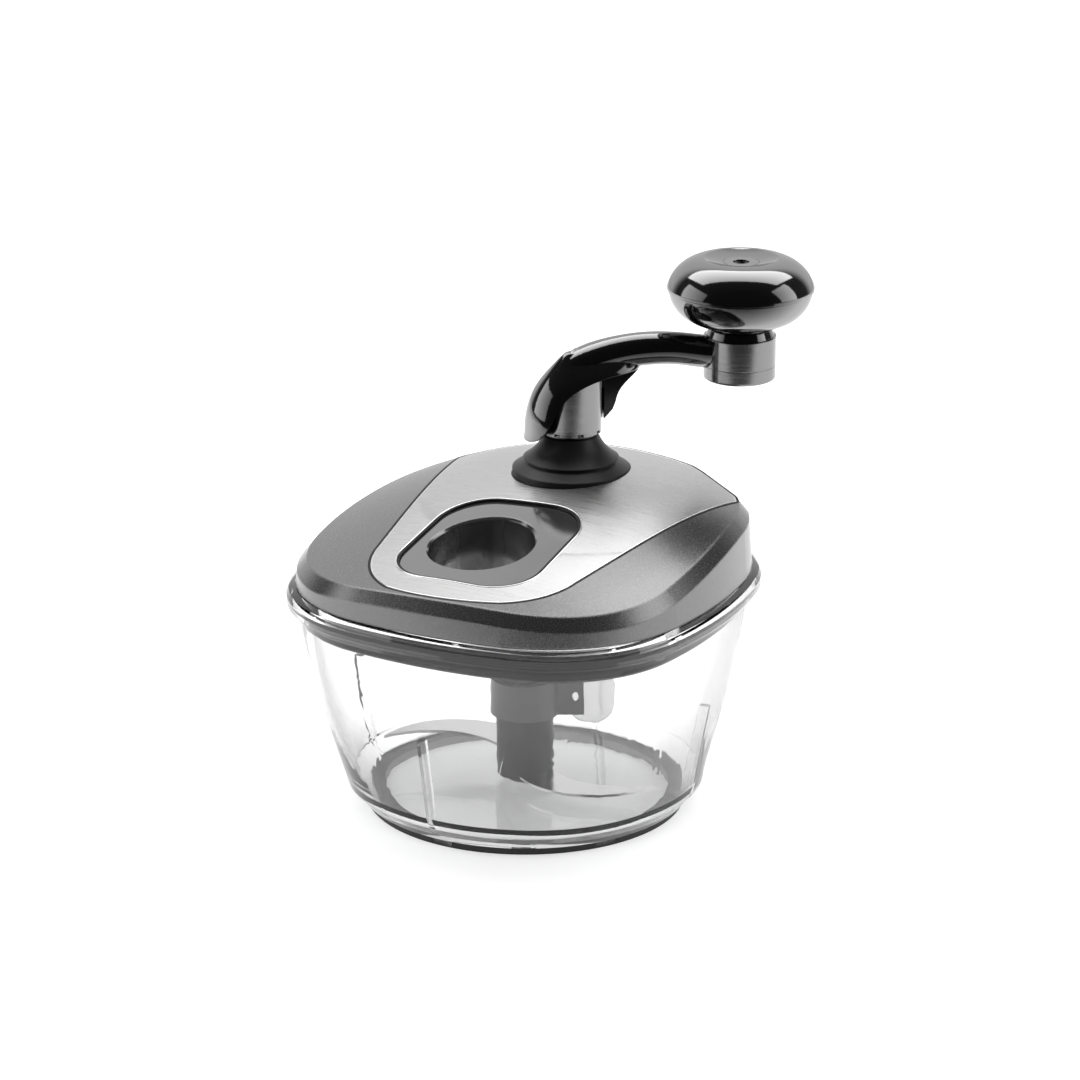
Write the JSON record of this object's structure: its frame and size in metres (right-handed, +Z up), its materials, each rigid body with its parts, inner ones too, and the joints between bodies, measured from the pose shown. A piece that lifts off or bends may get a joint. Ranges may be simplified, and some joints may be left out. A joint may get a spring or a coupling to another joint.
{
  "type": "crank food chopper",
  "caption": "Hand cranked food chopper: clear rounded-square bowl, domed lid with a geared crank and knob, a fill chute, and a bladed rotor.",
  "frame": {"origin": "centre of the foot ring's bottom face", "axes": "+Z up along the rotor's axis; -Y is the fill chute's side, +Y the crank's side; +X completes the frame"},
  "size_m": [0.176, 0.203, 0.2106],
  "materials": {
    "clear_plastic": "clear, glossy",
    "foot_rubber": "matt",
    "steel": "brushed",
    "polished_steel": "polished",
    "panel_steel": "fine brushed",
    "lid_plastic": "satin, metallic grey",
    "gloss_black": "glossy",
    "insert_plastic": "glossy",
    "base_plastic": "satin",
    "boot_plastic": "matt",
    "seal_rubber": "matt",
    "bush_plastic": "plain",
    "gear_plastic": "plain",
    "column_plastic": "satin",
    "bracket_plastic": "satin",
    "paddle_plastic": "clear, glossy",
    "fastener_steel": "plain"
  },
  "bodies": {
    "bowl": {"bowl": "clear_plastic", "foot_ring": "foot_rubber", "bowl_spindle": "polished_steel"},
    "lid": {"lid_shell": "lid_plastic", "steel_panel": "panel_steel", "fill_insert": "insert_plastic", "lid_base": "base_plastic", "lid_seal": "seal_rubber", "crank_boot": "boot_plastic", "crank_bush": "bush_plastic", "output_bush": "bush_plastic", "gear_bridge": "base_plastic", "bridge_screws": "fastener_steel", "lid_screws": "fastener_steel"},
    "crank": {"crank_arm": "gloss_black", "drive_shaft": "polished_steel", "shaft_sleeve": "steel", "drive_gear": "gear_plastic", "barrel": "steel", "barrel_cap": "steel", "barrel_ring": "gloss_black", "knob_pin": "polished_steel"},
    "knob": {"knob_lower": "gloss_black", "knob_upper": "gloss_black", "knob_cap": "gloss_black"},
    "output": {"output_spindle": "polished_steel", "output_pinion": "gear_plastic"},
    "rotor": {"blade_column": "column_plastic", "lower_blade": "polished_steel", "upper_blade": "polished_steel", "paddle_bracket": "bracket_plastic", "paddle": "paddle_plastic", "paddle_rivet": "polished_steel"}
  },
  "joints": [
    {"name": "lid_lift", "type": "slide", "parent": "bowl", "child": "lid", "axis": [0, 0, 1], "range_m": [0, 0.12]},
    {"name": "crank_turn", "type": "hinge", "parent": "lid", "child": "crank", "pos_m": [0, 0.04, 0.15], "axis": [0, 0, 1], "continuous": true},
    {"name": "knob_spin", "type": "hinge", "parent": "crank", "child": "knob", "pos_m": [0.05345, 0.0852, 0.195], "axis": [0, 0, 1], "continuous": true},
    {"name": "output_turn", "type": "hinge", "parent": "lid", "child": "output", "pos_m": [0, 0, 0.1], "axis": [0, 0, 1], "continuous": true},
    {"name": "rotor_turn", "type": "hinge", "parent": "bowl", "child": "rotor", "pos_m": [0, 0, 0.05], "axis": [0, 0, 1], "continuous": true}
  ],
  "couplings": [
    {"joint": "output_turn", "follows": "crank_turn", "ratio": -4.3333},
    {"joint": "rotor_turn", "follows": "crank_turn", "ratio": -4.3333}
  ]
}
